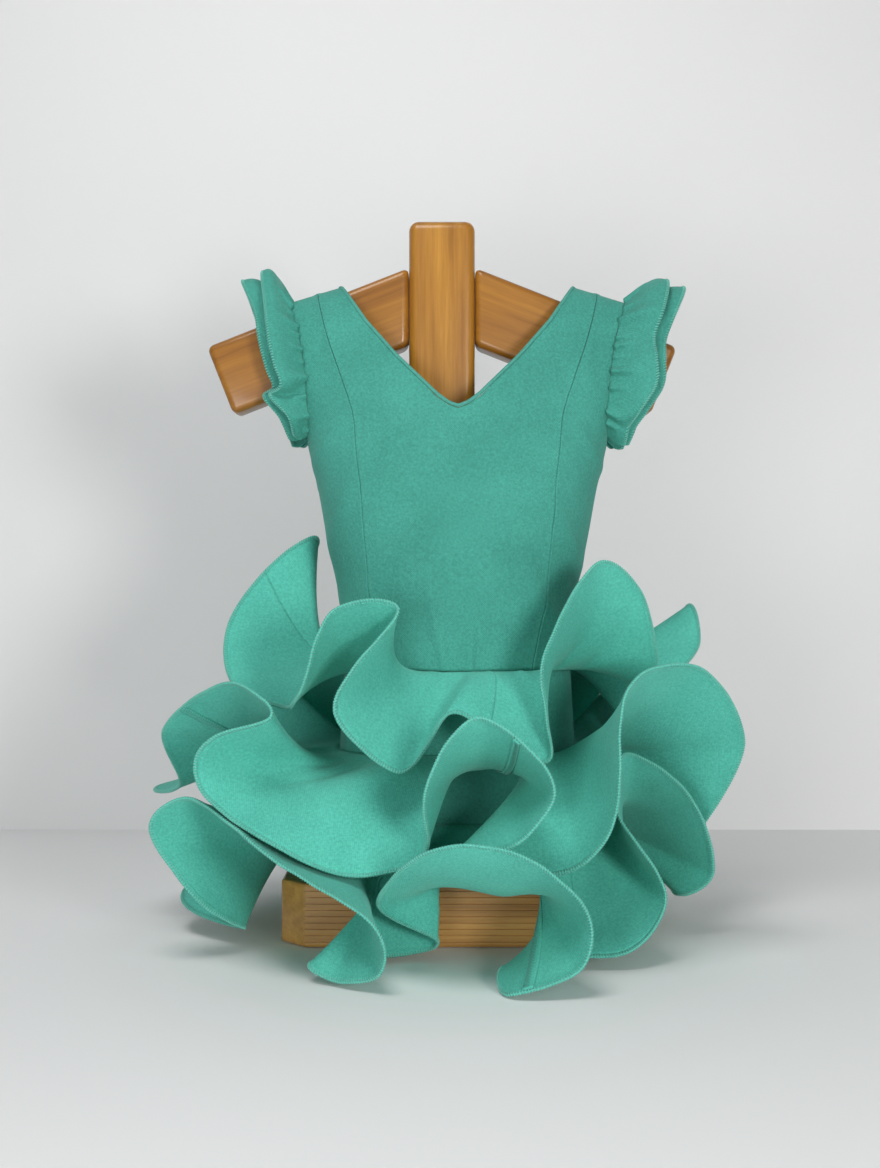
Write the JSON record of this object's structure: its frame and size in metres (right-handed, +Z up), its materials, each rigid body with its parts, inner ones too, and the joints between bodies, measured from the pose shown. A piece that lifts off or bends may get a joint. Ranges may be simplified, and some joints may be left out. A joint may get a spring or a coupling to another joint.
{
  "type": "child's flamenco dress on a wooden display stand",
  "caption": "Teal-green child's flamenco dress with fluted tiers and gathered cap sleeves, hanging on the sloping arms of a varnished pine display stand.",
  "frame": {"origin": "middle of the underside of the stand's base, under the centre of the post", "axes": "+Z up along the post; the dress front faces -Y, and +X is to the viewer's right"},
  "size_m": [0.424, 0.3686, 0.506],
  "materials": {
    "cloth": "soft matt crepe",
    "binding": "rolled strip of the same crepe",
    "pine": "orange pine under clear varnish",
    "pine_dark": "grooved block, darker pine under clear varnish"
  },
  "bodies": {
    "root": {"bodice_front_centre": "cloth", "bodice_front_left": "cloth", "bodice_front_right": "cloth", "bodice_back_left": "cloth", "bodice_back_right": "cloth", "neck_binding": "binding", "skirt_base": "cloth", "ruffle_upper_front_left": "cloth", "ruffle_upper_front_right": "cloth", "ruffle_upper_back_right": "cloth", "ruffle_upper_back_left": "cloth", "ruffle_middle_front_left": "cloth", "ruffle_middle_front_right": "cloth", "ruffle_middle_back_right": "cloth", "ruffle_middle_back_left": "cloth", "ruffle_lower_front": "cloth", "ruffle_lower_right": "cloth", "ruffle_lower_back": "cloth", "ruffle_lower_left": "cloth", "sleeve_left_outer": "cloth", "sleeve_left_under": "cloth", "sleeve_right_outer": "cloth", "sleeve_right_under": "cloth", "stand_base": "pine_dark", "stand_post": "pine", "stand_arm_left": "pine", "stand_arm_right": "pine"}
  },
  "joints": []
}
